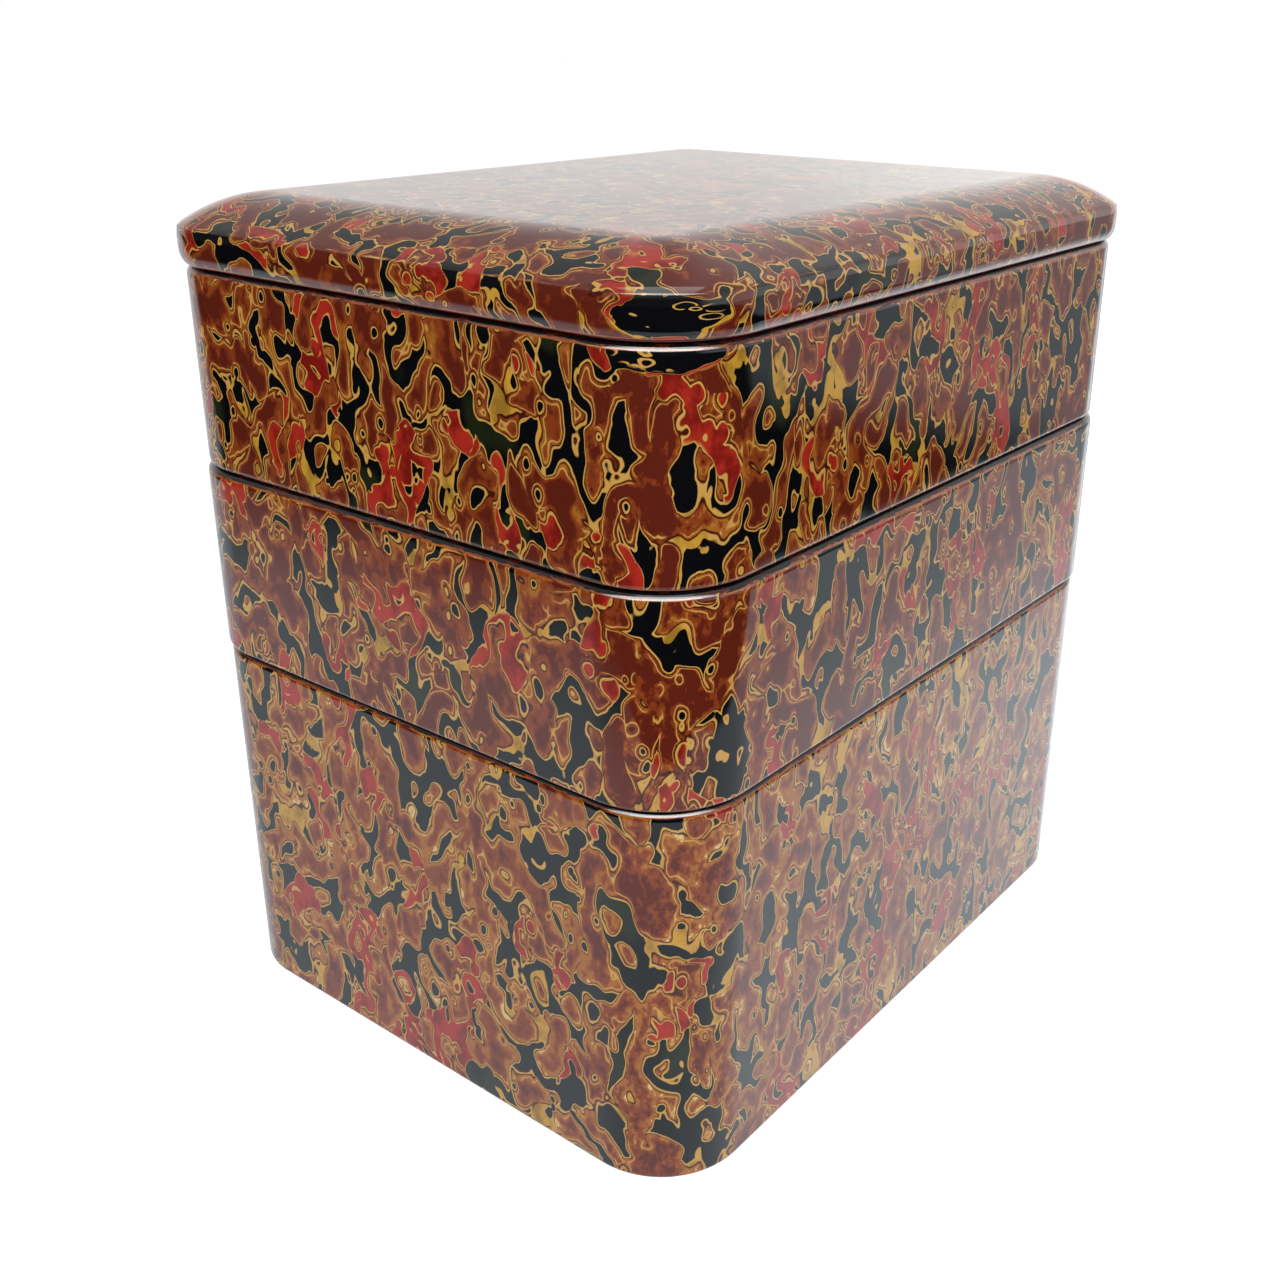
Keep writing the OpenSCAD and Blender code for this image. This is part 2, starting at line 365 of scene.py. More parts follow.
def outwards(point):
    """How far a point lies out from the line that joins the corner centres."""
    return math.hypot(max(abs(point.x) - CENTRE_X, 0), max(abs(point.y) - CENTRE_Y, 0))


def ring_at(height, distance):
    """A test for the edges that run round the box at one height and distance outwards."""
    flat = at_height(height)
    return lambda edge: flat(edge) and all(near(outwards(v.co), distance, RING_SLACK) for v in edge.verts)


print("corner centres lie at", round(CENTRE_X / MM, 2), "and", round(CENTRE_Y / MM, 2), "mm")

# %% Finishing a shell
SMOOTH_BELOW = math.radians(40)
MERGE_WITHIN = 0.002 * MM
FLAT_FACE_WEIGHT = 100


def finish_shape(block):
    """Leaves edit mode with clean outward normals and smooth shading that keeps flat faces flat."""
    bpy.ops.mesh.select_all(action="SELECT")
    bpy.ops.mesh.remove_doubles(threshold=MERGE_WITHIN)
    bpy.ops.mesh.normals_make_consistent(inside=False)
    bpy.ops.object.mode_set(mode="OBJECT")
    bpy.ops.object.shade_smooth_by_angle(angle=SMOOTH_BELOW)
    bpy.ops.object.modifier_add(type="WEIGHTED_NORMAL")
    block.modifiers[-1].keep_sharp = True
    block.modifiers[-1].weight = FLAT_FACE_WEIGHT
    bpy.ops.object.modifier_apply(modifier=block.modifiers[-1].name)
    print(block.name, len(block.data.polygons), "faces,", [round(v / MM, 1) for v in block.dimensions])


# %% [markdown]
# ## The shell of a tier
#
# The real shell is boards and corner posts, glued, cloth-covered, primed and lacquered until no joint
# shows. One closed mesh is the honest picture of that. The block's four upright edges are bevelled into
# round corners. The top face is inset by the wall and removed, the bottom face is inset, pushed up by
# the floor's height and inset again, which leaves the step that the floor panel sits in, and a bridge
# between the two openings makes the inner wall. Bevels then round the rim and the foot. The inside is
# red, and so is the flat of the top tier's rim, which the lid covers.

# %% Tier walls
WALL = 7 * MM
REBATE = 3 * MM
FLOOR_TOP = 5.8 * MM
CORNER_STEPS = 24


def hollow_walls(low, high, radius, wall):
    """Turns the edited block into a closed ring of walls with a rebate for its floor."""
    pick("edges", upright)
    bpy.ops.mesh.bevel(offset=radius, segments=CORNER_STEPS, affect="EDGES")
    pick("faces", at_height(high.z))
    bpy.ops.mesh.inset(thickness=wall)
    bpy.ops.mesh.delete(type="FACE")
    pick("faces", at_height(low.z))
    bpy.ops.mesh.inset(thickness=wall - REBATE)
    bpy.ops.mesh.extrude_region_move(TRANSFORM_OT_translate={"value": (0, 0, FLOOR_TOP)})
    bpy.ops.mesh.inset(thickness=REBATE)
    bpy.ops.mesh.delete(type="FACE")
    pick("edges", lambda edge: edge.is_boundary)
    bpy.ops.mesh.bridge_edge_loops()


# %% Tier shells
RIM_OUTSIDE, RIM_INSIDE, FOOT = 2.4 * MM, 1.2 * MM, 1.5 * MM
FILLET_STEPS = 6
FACE_SLACK = 0.3 * MM
MOTTLED, RED = 0, 1
RED_RIMS = ("top",)


def round_edge(height, distance, size, steps=FILLET_STEPS // 2):
    """Rounds one of the edges that run round the edited box."""
    pick("edges", ring_at(height, distance))
    bpy.ops.mesh.bevel(offset=size, segments=steps, affect="EDGES")


def tier_shell(tier):
    """Models one tier and gives its inner wall and rebate the second material."""
    low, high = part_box(tier + "_corner_posts")
    radius = high.x - CENTRE_X
    wall = WALL + radius - CORNER
    inner = radius - wall
    block = start_block(tier + "_tier_shell", low, high)
    hollow_walls(low, high, radius, wall)
    round_edge(high.z, radius, RIM_OUTSIDE, FILLET_STEPS)
    round_edge(high.z, inner, RIM_INSIDE)
    round_edge(low.z, radius, FOOT)
    finish_shape(block)
    floor_top = low.z + FLOOR_TOP
    for face in block.data.polygons:
        distance, height = outwards(face.center), face.center.z
        in_rebate = height < floor_top and distance < inner + REBATE + FACE_SLACK
        inside = distance < inner + FACE_SLACK or near(height, floor_top) or in_rebate
        red_rim = tier in RED_RIMS and near(height, high.z)
        face.material_index = RED if inside or red_rim else MOTTLED
    return block


shells = {tier: tier_shell(tier) for tier in ("bottom", "middle", "top")}

# %% [markdown]
# ## The form of the lid
#
# The lid's edge is bowed, so its widest line lies above its foot, and its top is crowned: a circle's arc
# that climbs from the arris to the flat of the top and runs round all four corners. Both could be swept
# along a path. Here each is written as a height and a distance outwards, which insets can then follow.

# %% Lines of the lid
BAND = 9.3 * MM
BOW_RADIUS, WIDEST = 12 * MM, 6 * MM
FOOT_INSET, FOOT_TIGHTNESS = 1.6 * MM, 4
CROWN_RISE = 7.5 * MM

lid_low, lid_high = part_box("lid_corner_blocks")
lid_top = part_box("lid_crowned_panel")[1].z
lid_radius = lid_high.x - CENTRE_X
crown_radius = (lid_radius**2 + CROWN_RISE**2) / (2 * CROWN_RISE)


def bow_inset(height):
    """How far the band lies inside its widest line at a height above the lid's foot."""
    if height > WIDEST:
        return BOW_RADIUS - math.sqrt(BOW_RADIUS**2 - (height - WIDEST) ** 2)
    return FOOT_INSET * (1 - height / WIDEST) ** FOOT_TIGHTNESS


def band_station(height):
    """The band's distance outwards and its height, at a height above the lid's foot."""
    return (lid_radius - bow_inset(height), lid_low.z + height)


def crown_station(distance):
    """The crown's distance outwards and its height."""
    return (distance, lid_top - crown_radius + math.sqrt(crown_radius**2 - distance**2))


print("the crown has a radius of", round(crown_radius / MM, 2), "mm")

# %% [markdown]
# ## The shell of the lid
#
# A thin slab with round corners stands at the widest line. Its upper face is inset and lifted again and
# again, first up the bowed band and then over the crown, and its lower face is inset and dropped to the
# foot. Insets keep the round plan, so the arc runs round the corners as one surface.

# %% Following a line
def follow(stations):
    """Insets the selected face from station to station, each a distance outwards and a height."""
    for (before, low), (after, high) in zip(stations, stations[1:]):
        bpy.ops.mesh.inset(thickness=before - after, depth=abs(high - low))


# %% Slab at the widest line
SLAB = 0.4 * MM

slab_low, slab_high = WIDEST - SLAB, WIDEST + SLAB
low_corner = Vector((lid_low.x, lid_low.y, lid_low.z + slab_low))
high_corner = Vector((lid_high.x, lid_high.y, lid_low.z + slab_high))
lid = start_block("lid_shell", low_corner, high_corner)
pick("edges", upright)
bpy.ops.mesh.bevel(offset=lid_radius, segments=CORNER_STEPS, affect="EDGES")
print("the lid starts as a slab", round((slab_high - slab_low) / MM, 2), "mm thick")

# %% Band and crown
BAND_STEPS, CROWN_STEPS = 9, 16
FLAT_STARTS = 0.25 * MM

climb = [slab_high + (BAND - slab_high) * step / BAND_STEPS for step in range(1, BAND_STEPS + 1)]
arris = lid_radius - bow_inset(BAND)
crown = [arris * (1 - step / CROWN_STEPS) for step in range(CROWN_STEPS)] + [FLAT_STARTS]
pick("faces", at_height(high_corner.z))
follow([(lid_radius, high_corner.z)] + [band_station(height) for height in climb])
follow([crown_station(distance) for distance in crown])
print("the crown climbs in", len(crown) - 1, "steps")

# %% Underside and edges of the lid
LEDGE = 5 * MM
ARRIS, LID_FOOT = 1.0 * MM, 0.5 * MM

drop = [slab_low * (1 - step / BAND_STEPS) for step in range(1, BAND_STEPS + 1)]
foot = lid_radius - bow_inset(0)
pick("faces", at_height(low_corner.z))
follow([(lid_radius, low_corner.z)] + [band_station(height) for height in drop])
follow([(foot, lid_low.z), (CORNER - WALL, lid_low.z)])
bpy.ops.mesh.extrude_region_move(TRANSFORM_OT_translate={"value": (0, 0, LEDGE)})
round_edge(lid_low.z + BAND, arris, ARRIS)
round_edge(lid_low.z, foot, LID_FOOT)
bpy.ops.object.mode_set(mode="OBJECT")
print("lid before its hollow, in mm:", [round(v / MM, 2) for v in lid.dimensions])

# %% [markdown]
# ## The hollow under the crown
#
# The real lid's panel is hollowed from below, inside the slips that locate it. The hollow has square
# corners, and an inset would follow the round plan, so a block is cut out with a boolean instead.

# %% Hollow under the crown
SLIP_WIDTH = 6 * MM
LID_TOP = 6 * MM
HOLLOW_SLACK = 0.1 * MM
FACES_DOWN = -0.99

slip_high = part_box("lid_locating_slips")[1]
half_x, half_y = slip_high.x - SLIP_WIDTH, slip_high.y - SLIP_WIDTH
hollow_top = lid_top - LID_TOP
cutter_low = Vector((-half_x, -half_y, lid_low.z - LEDGE))
cutter = start_block("hollow_cutter", cutter_low, Vector((half_x, half_y, hollow_top)))
bpy.ops.object.mode_set(mode="OBJECT")
bpy.ops.object.select_all(action="DESELECT")
bpy.context.view_layer.objects.active = lid
lid.select_set(True)
bpy.ops.object.modifier_add(type="BOOLEAN")
lid.modifiers[-1].object = cutter
lid.modifiers[-1].operation = "DIFFERENCE"
bpy.ops.object.modifier_apply(modifier=lid.modifiers[-1].name)
bpy.data.objects.remove(cutter)
bpy.ops.object.mode_set(mode="EDIT")
finish_shape(lid)
for face in lid.data.polygons:
    within = outwards(face.center) < CORNER - WALL + FACE_SLACK
    under_crown = within and face.center.z < hollow_top + HOLLOW_SLACK
    face.material_index = RED if under_crown or face.normal.z < FACES_DOWN else MOTTLED

# %% [markdown]
# ## The mottled lacquer
#
# Craftsmen dab thick black lacquer on the ground so that it stands up in pools and ridges, lay many thin
# coats of other colours over it, and polish the whole surface flat. The polish cuts through the coats as
# a plane cuts through hills: black shows where a dab stood up, a thin gold line runs round it, and
# islands of red-brown, tan or gold lie between. A painted picture could show this too, but a recipe in
# numbers wraps round the box without a seam. Each step below is one part of that recipe.

# %% Lacquer colours
BLACK = (0.003, 0.0032, 0.004, 1.0)
OLIVE_BLACK = (0.012, 0.016, 0.006, 1.0)
GOLD_LINE = (0.5, 0.28, 0.065, 1.0)
OCHRE = (0.5, 0.27, 0.03, 1.0)
OLIVE_OCHRE = (0.26, 0.14, 0.016, 1.0)
TAN = (0.2, 0.038, 0.009, 1.0)
GOLD_BROWN = (0.33, 0.115, 0.017, 1.0)
COPPER = (0.3, 0.07, 0.02, 1.0)
PALE_GOLD = (0.6, 0.42, 0.18, 1.0)
RED_BROWN = (0.095, 0.013, 0.006, 1.0)
VERMILION = (0.34, 0.022, 0.012, 1.0)
DEEP_RED = (0.16, 0.008, 0.005, 1.0)
LINE_BROWN = (0.045, 0.008, 0.003, 1.0)

# %% [markdown]
# ## Uneven coats as noise
#
# Noise is a smooth random height, which is what a hand-dabbed coat has. Sizes are given in millimetres,
# as the width of a wave. Each use reads its own part of the pattern, so that no two repeat each other,
# and a place can be pushed about first, so that outlines wander.

# %% Noise and cells
PER_MM = 1 / MM


def noise(tree, vector, size, detail=2.0, roughness=0.5, output="Fac"):
    """Noise whose waves are about size millimetres long, as a socket."""
    inputs = {"Vector": vector, "Scale": PER_MM / size, "Detail": detail, "Roughness": roughness}
    return add(tree, "ShaderNodeTexNoise", inputs).outputs[output]


def cells(tree, vector, size):
    """A Voronoi pattern of cells about size millimetres wide."""
    return add(tree, "ShaderNodeTexVoronoi", {"Vector": vector, "Scale": PER_MM / size}).outputs


# %% Places in the pattern
MIDDLE = 0.5
PARTS = {
    "flow": (0.3, 0.7, 0.1),
    "zones": (0.7, 0.2, 0.5),
    "islands": (0.4, 0.2, 0.3),
    "veins": (0.8, 0.5, 0.1),
    "drops": (0.5, 0.2, 0.9),
    "clouds": (0.9, 0.1, 0.6),
    "slow": (0.2, 0.6, 1.2),
    "grit": (0.6, 0.9, 0.3),
}


def stretched(tree, vector, scale):
    """A place with each of its axes scaled, as a socket."""
    return add(tree, "ShaderNodeMapping", {"Vector": vector, "Scale": scale}).outputs[0]


def moved(tree, vector, step):
    """The same place moved by a step, as a socket."""
    return vector_math(tree, "ADD", vector, step).outputs[0]


def swing(tree, value, middle=MIDDLE):
    """How far a noise lies over its middle, as a socket."""
    return calc(tree, "SUBTRACT", value, middle)


def wandered(tree, vector, size, reach):
    """A place pushed about by waves of one size, by reach millimetres at the most, as a socket."""
    push = noise(tree, vector, size, detail=1.0, output="Color")
    centred = vector_math(tree, "SUBTRACT", push, (MIDDLE, MIDDLE, MIDDLE))
    inputs = {0: centred.outputs[0], "Scale": reach * MM}
    scaled = add(tree, "ShaderNodeVectorMath", inputs, operation="SCALE")
    return vector_math(tree, "ADD", vector, scaled.outputs[0]).outputs[0]


# %% [markdown]
# ## The slope of a coat
#
# A polished coat shows as a ring as wide as the coat is thick, wherever it lies. Bands of a noise's
# height alone would be wide on gentle slopes and thin on steep ones. Height over slope is close to a
# distance in millimetres near the outline, so this group also measures the slope, by three short steps.

# %% Slope group
STEP = 0.2 * MM
FLATTEST = 0.35


def slope_group():
    """Builds the group that gives a noise's height over its middle and its slope per millimetre."""
    group = bpy.data.node_groups.new("level_and_slope", "ShaderNodeTree")
    ends = group.interface
    ends.new_socket("Place", in_out="INPUT", socket_type="NodeSocketVector")
    ends.new_socket("Scale", in_out="INPUT", socket_type="NodeSocketFloat")
    ends.new_socket("Level", in_out="OUTPUT", socket_type="NodeSocketFloat")
    ends.new_socket("Slope", in_out="OUTPUT", socket_type="NodeSocketFloat")
    place, scale = group.nodes.new("NodeGroupInput").outputs[:2]

    def height(step):
        inputs = {"Vector": moved(group, place, step), "Scale": scale, "Detail": 1.0, "Roughness": 0.3}
        return add(group, "ShaderNodeTexNoise", inputs).outputs["Fac"]

    here = height((0, 0, 0))
    along = (height((STEP, 0, 0)), height((0, STEP, 0)), height((0, 0, STEP)))
    ahead = add(group, "ShaderNodeCombineXYZ", dict(enumerate(along))).outputs[0]
    still = add(group, "ShaderNodeCombineXYZ", {0: here, 1: here, 2: here}).outputs[0]
    rise = vector_math(group, "SUBTRACT", ahead, still).outputs[0]
    slope = calc(group, "DIVIDE", vector_math(group, "LENGTH", rise).outputs["Value"], STEP / MM)
    slope = calc(group, "MAXIMUM", slope, calc(group, "MULTIPLY", scale, FLATTEST * MM))
    add(group, "NodeGroupOutput", {"Level": swing(group, here), "Slope": slope})
    return group


coat_slopes = slope_group()
print("slopes are measured over", STEP / MM, "mm")


# %% Level and slope
def level_and_slope(tree, vector, size):
    """The height over the middle and the slope of a noise whose waves are size long, as sockets."""
    node = add(tree, "ShaderNodeGroup", node_tree=coat_slopes)
    feed(tree, node, "Place", vector)
    feed(tree, node, "Scale", PER_MM / size)
    return node.outputs["Level"], node.outputs["Slope"]


# %% [markdown]
# ## Pools, veins and drops
#
# Black shows in three ways: broad pools, veins that join them, and small round drops. A pool lies where
# one noise is low, a vein follows the middle level of another, and a drop is a spot in one cell of a
# Voronoi pattern. Each gives a distance to its outline, and a smooth minimum joins the three with
# rounded corners, as wet lacquer does.

# %% Distance into an island
ISLAND_SIZE, VEIN_SPACING = 7.8, 9.5
VEIN_WIDTH, VEIN_SWELL, VEIN_LIMIT = 0.034, 0.7, 0.078
DROP_WANDER, DROP_WANDER_REACH = 4, 1.6
DROP_CELL, DROP_SPREAD, DROP_RARITY, DROP_LARGEST = 5.5, 6.0, -3.1, 1.1
VEIN_ROUNDING, DROP_ROUNDING = 1.4, 0.5


def island_distance(group, place, warped, flow, spread):
    """Distance in millimetres into an island of brown, negative in the pools, veins and drops."""
    level, slope = level_and_slope(group, moved(group, warped, PARTS["islands"]), ISLAND_SIZE)
    island = calc(group, "DIVIDE", calc(group, "SUBTRACT", level, spread), slope)
    line, slope = level_and_slope(group, moved(group, warped, PARTS["veins"]), VEIN_SPACING)
    width = calc(group, "MULTIPLY_ADD", swing(group, flow), VEIN_SWELL, VEIN_WIDTH)
    width = calc(group, "MINIMUM", width, VEIN_LIMIT)
    vein = calc(group, "SUBTRACT", calc(group, "ABSOLUTE", line), width)
    vein = calc(group, "DIVIDE", vein, slope)
    island = calc(group, "SMOOTH_MIN", island, vein, VEIN_ROUNDING)
    spots = wandered(group, place, DROP_WANDER, DROP_WANDER_REACH)
    drops = cells(group, moved(group, spots, PARTS["drops"]), DROP_CELL)
    radius = calc(group, "MULTIPLY_ADD", drops["Color"], DROP_SPREAD, DROP_RARITY)
    radius = calc(group, "MINIMUM", radius, DROP_LARGEST)
    inverse = calc(group, "MULTIPLY", radius, -1)
    drop = calc(group, "MULTIPLY_ADD", drops["Distance"], DROP_CELL, inverse)
    return calc(group, "SMOOTH_MIN", island, drop, DROP_ROUNDING)


# %% [markdown]
# ## Vermilion zones
#
# In some zones a vermilion coat lies under the brown ones. There the polish leaves a red border between
# island and black. A slow noise with hard contrast decides where, and corners get a little more of it.

# %% Vermilion zones
ZONE_SIZE, ZONE_CONTRAST, ZONE_AT_CORNER, ZONE_EDGE = 19, 30, 0.8, 0.3


def vermilion_zone(group, warped, share, worn_and_shaded):
    """1 where vermilion was laid under the other coats, as a socket."""
    zone = noise(group, moved(group, warped, PARTS["zones"]), ZONE_SIZE, detail=1.0)
    zone = calc(group, "MULTIPLY_ADD", swing(group, zone), ZONE_CONTRAST, share)
    zone = plus(group, zone, worn_and_shaded, ZONE_AT_CORNER)
    return ramp(group, zone, -ZONE_EDGE, ZONE_EDGE)


# %% [markdown]
# ## The rings round an island
#
# From the inside outwards the polish shows the brown island, sometimes a second gold line in it, a thin
# dark line, the gold line and then black. Where the gold coat ran thick it flares into an ochre neck,
# and in a vermilion zone a red border and one more gold line come before the black. Each ring is a band
# of the distance, so it keeps its width.

# %% Rings
LINE_HALF, LINE_EDGE = 0.11, 0.05
DARK_WIDTH, DARK_EDGE = 0.26, 0.07
SECOND_FROM, SECOND_TO, SECOND_SHARE = 0.72, 0.92, (0.56, 0.5)
FLARES, FLARE_WIDTH, NECK_WIDTH = (0.6, 0.68), 1.5, 0.13
RED_WIDTH, RED_STARTS = 2.2, (0.12, 0.24)
CORE_LINE, CORE_EDGE = 0.3, 0.06


def rings(group, island, red_zone, flows):
    """Where each coat round an island shows, as a dict of sockets."""
    out = calc(group, "MULTIPLY", island, -1)
    flare = ramp(group, flows[1], *FLARES)
    core = plus(group, calc(group, "MULTIPLY_ADD", flare, FLARE_WIDTH, NECK_WIDTH), red_zone, RED_WIDTH)
    depth = calc(group, "SUBTRACT", out, core)
    second = band(group, island, SECOND_FROM, SECOND_TO, DARK_EDGE)
    return {
        "second": calc(group, "MULTIPLY", second, ramp(group, flows[2], *SECOND_SHARE)),
        "dark": band(group, island, LINE_HALF, LINE_HALF + DARK_WIDTH, DARK_EDGE),
        "gold": ramp(group, out, -LINE_HALF - LINE_EDGE, -LINE_HALF + LINE_EDGE),
        "flare": flare,
        "red": calc(group, "MULTIPLY", red_zone, ramp(group, out, *RED_STARTS)),
        "core line": band(group, depth, -CORE_LINE, 0.0, CORE_EDGE),
        "black": ramp(group, depth, -CORE_EDGE, CORE_EDGE),
    }


print("the gold line is about", 2 * LINE_HALF, "mm wide")

# %% [markdown]
# ## The brown of an island
#
# An island is clear brown lacquer over gold dust. Where the brown is thick it is a dark red-brown, and
# where the polish thinned it, tan and then gold shine through, most of all at the island's edge. One
# number, the glow, adds up all that thins the coat: clouds, slow zones, the edge, and a fine grit that is
# strongest on corners. It also takes a little off on the round corners, as painted shade that darkens
# the brown there. A few grains of gold dust show as specks.

# %% How far an island glows, with painted corner shade
CLOUD_SIZE, SLOW_SIZE, GRIT_SIZE = 6, 22, 1.6
# The last of these darkens the brown on the round corners as painted shade.
FLOW_GLOW, SLOW_GLOW, CORNER_SHADE = 0.5, 0.55, -0.03
EDGE_GLOW, EDGE_REACH = 0.36, (2.6, 0.5)
GRIT_MIDDLE, GRIT_GLOW, GRIT_AT_CORNER = 0.56, 0.45, 0.75


def island_thinning_and_corner_shade(group, given, island, flow, cloud, slow):
    """How much of an island's brown the polish took off, less a little painted shade on the round
    corners, as a socket.
    """
    worn_and_shaded = given["Corner wear and shade"]
    grit = noise(group, moved(group, given["Place"], PARTS["grit"]), GRIT_SIZE, roughness=0.6)
    grit_glow = calc(group, "MULTIPLY_ADD", worn_and_shaded, GRIT_AT_CORNER, GRIT_GLOW)
    glow = plus(group, cloud, swing(group, flow), FLOW_GLOW)
    glow = plus(group, glow, ramp(group, island, *EDGE_REACH), EDGE_GLOW)
    glow = plus(group, glow, swing(group, grit, GRIT_MIDDLE), grit_glow)
    # Painted shade: the brown is a little darker on the round corners.
    glow = plus(group, glow, worn_and_shaded, CORNER_SHADE)
    glow = plus(group, glow, swing(group, slow), SLOW_GLOW)
    return calc(group, "ADD", glow, given["Tone"])


# %% Brown of an island
TANNED, GILDED, PALE = (0.33, 0.6), (0.62, 0.88), (1.0, 1.08)
SPECK_CELL, SPECK_SPREAD, SPECK_RARITY = 2.4, 0.5, -0.26
SPECK_EDGE, SPECK_STRENGTH = 0.05, 0.7


def island_brown(group, place, glow):
    """The colour of an island from red-brown to pale gold, with specks of dust, as a socket."""
    brown = blend(group, ramp(group, glow, *TANNED), RED_BROWN, TAN)
    brown = blend(group, ramp(group, glow, *GILDED), brown, GOLD_BROWN)
    brown = blend(group, ramp(group, glow, *PALE), brown, PALE_GOLD)
    grains = cells(group, place, SPECK_CELL)
    grain = calc(group, "MULTIPLY_ADD", grains["Color"], SPECK_SPREAD, SPECK_RARITY)
    speck = plus(group, grain, grains["Distance"], -SPECK_CELL)
    speck = ramp(group, speck, -SPECK_EDGE, SPECK_EDGE)
    return blend(group, calc(group, "MULTIPLY", speck, SPECK_STRENGTH), brown, GOLD_LINE)


# %% [markdown]
# ## All coats in one colour
#
# The rings are laid over the brown one after the other, from the inside outwards. Ochre and red vary
# with the same clouds as the brown, so that the coats look as if they were laid together, and the black
# has a hint of olive in a few slow zones.

# %% Colour of the coats
OCHRE_CLOUD, RED_CLOUD = (0.36, 0.6), (0.35, 0.6)
OLIVE_ZONES, OLIVE_ENDS = (0.4, 0.34), (0.1, -0.1)


def coats_colour(group, given, mask, brown, cloud, slow):
    """The polished coats as one colour, as a socket."""
    ochre = blend(group, ramp(group, cloud, *OCHRE_CLOUD), OLIVE_OCHRE, OCHRE)
    line = blend(group, mask["flare"], GOLD_LINE, ochre)
    reds = blend(group, ramp(group, cloud, *RED_CLOUD), DEEP_RED, VERMILION)
    olive = ramp(group, slow, *OLIVE_ZONES)
    olive = calc(group, "MULTIPLY", olive, ramp(group, given["Spread"], *OLIVE_ENDS))
    deep = blend(group, olive, BLACK, OLIVE_BLACK)
    colour = blend(group, mask["second"], brown, GOLD_LINE)
    colour = blend(group, mask["dark"], colour, LINE_BROWN)
    colour = blend(group, mask["gold"], colour, line)
    colour = blend(group, mask["red"], colour, reds)
    colour = blend(group, mask["core line"], colour, line)
    return blend(group, mask["black"], colour, deep)


# %% [markdown]
# ## Ovals in the lid's black pool
#
# On the lid's near corner the black pool is broad, and a few flat gold ovals float in it, drawn by drops
# of the gold coat. They are rings round the cells of a Voronoi pattern that is pressed flat, and they
# show only where the share of black is high.

# %% Drawn ovals
OVAL_WANDER, OVAL_WANDER_REACH = 6, 2.0
OVAL_CELL, OVAL_HALF, OVAL_FLAT = 6.0, 2.6, 3.6
OVAL_SPREAD, OVAL_RARITY = 9.0, -2.7
OVAL_LINE, OVAL_EDGE, OVAL_SHARE = 0.3, 0.1, (0.1, 0.35)


def with_ovals(group, given, colour):
    """The colour with gold ovals drawn in the black pool, as a socket."""
    drawn = wandered(group, given["Place"], OVAL_WANDER, OVAL_WANDER_REACH)
    ovals = cells(group, stretched(group, drawn, (1, 1, OVAL_FLAT)), OVAL_CELL)
    reach = calc(group, "MULTIPLY_ADD", ovals["Color"], OVAL_SPREAD, OVAL_RARITY)
    inverse = calc(group, "MULTIPLY", calc(group, "MINIMUM", reach, OVAL_HALF), -1)
    edge = calc(group, "MULTIPLY_ADD", ovals["Distance"], OVAL_CELL, inverse)
    ring = band(group, edge, -OVAL_LINE, OVAL_LINE, OVAL_EDGE)
    ring = calc(group, "MULTIPLY", ring, ramp(group, given["Spread"], *OVAL_SHARE))
    return blend(group, ring, colour, GOLD_LINE)


# %% [markdown]
# ## Copper rims and painted seam shade
#
# Rims and feet are rubbed through to the coats that were laid first. The wear runs along the edge, so it
# is streaky: copper, a little gold and a dark line. Right at the edge one plain colour is painted, black
# on
# the tiers and dark red under the lid: partly the box's own black rim and red underside, and partly
# painted shade in the seam between two pieces.

# %% Copper rims and painted seam shade
STREAK_SIZE, STREAK_FLAT = 9, 9
STREAKS = (((0.4, 0.5), COPPER), ((0.53, 0.6), GOLD_BROWN), ((0.64, 0.68), PALE_GOLD))
RIM_UNEVEN, RIM_STARTS, EDGE_AND_SHADE_FROM = 4.0, (0.12, 0.24), (0.6, 0.72)


def with_rims_worn_and_shaded(group, given, colour):
    """The colour with its rims rubbed through and painted seam shade at the very edge, as a socket."""
    pressed = stretched(group, given["Place"], (1, 1, STREAK_FLAT))
    streak = noise(group, pressed, STREAK_SIZE, detail=3.0, roughness=0.6)
    rubbed = LINE_BROWN
    for span, tint in STREAKS:
        rubbed = blend(group, ramp(group, streak, *span), rubbed, tint)
    uneven = calc(group, "MULTIPLY_ADD", swing(group, streak), RIM_UNEVEN, 1.0)
    rubbed_and_shaded = calc(group, "MULTIPLY", uneven, given["Rim wear and shade"])
    colour = blend(group, ramp(group, rubbed_and_shaded, *RIM_STARTS), colour, rubbed)
    # At the very edge the colour turns to painted seam shade: black on the tiers, dark red under the lid.
    return blend(group, ramp(group, rubbed_and_shaded, *EDGE_AND_SHADE_FROM), colour, given["Edge colour and seam shade"])


# %% [markdown]
# ## The lacquer as one group
#
# Four coats need the same recipe with their own values, so it is built once as a node group. Colour,
# polish and relief come out of it. The relief is a faint orange peel with a little dust, because even a
# polished hand-laid coat isn't a perfect mirror.

# %% Ends of the group
SPREAD = -0.165
GROUP_ENDS = (
    ("Place", "INPUT", "Vector", None),
    ("Spread", "INPUT", "Float", SPREAD),
    ("Red share", "INPUT", "Float", 0.0),
    ("Tone", "INPUT", "Float", 0.0),
    ("Corner wear and shade", "INPUT", "Float", 0.0),
    ("Rim wear and shade", "INPUT", "Float", 0.0),
    # The colour of the very edges of rims and feet: painted seam shade over the rim's own black or red.
    ("Edge colour and seam shade", "INPUT", "Color", BLACK),
    ("Colour", "OUTPUT", "Color", None),
    ("Roughness", "OUTPUT", "Float", None),
    ("Relief", "OUTPUT", "Float", None),
)


def empty_group(name, ends):
    """A new node group with the given ends."""
    group = bpy.data.node_groups.new(name, "ShaderNodeTree")
    for end, way, kind, value in ends:
        socket = group.interface.new_socket(end, in_out=way, socket_type="NodeSocket" + kind)
        if value is not None:
            socket.default_value = value
    return group


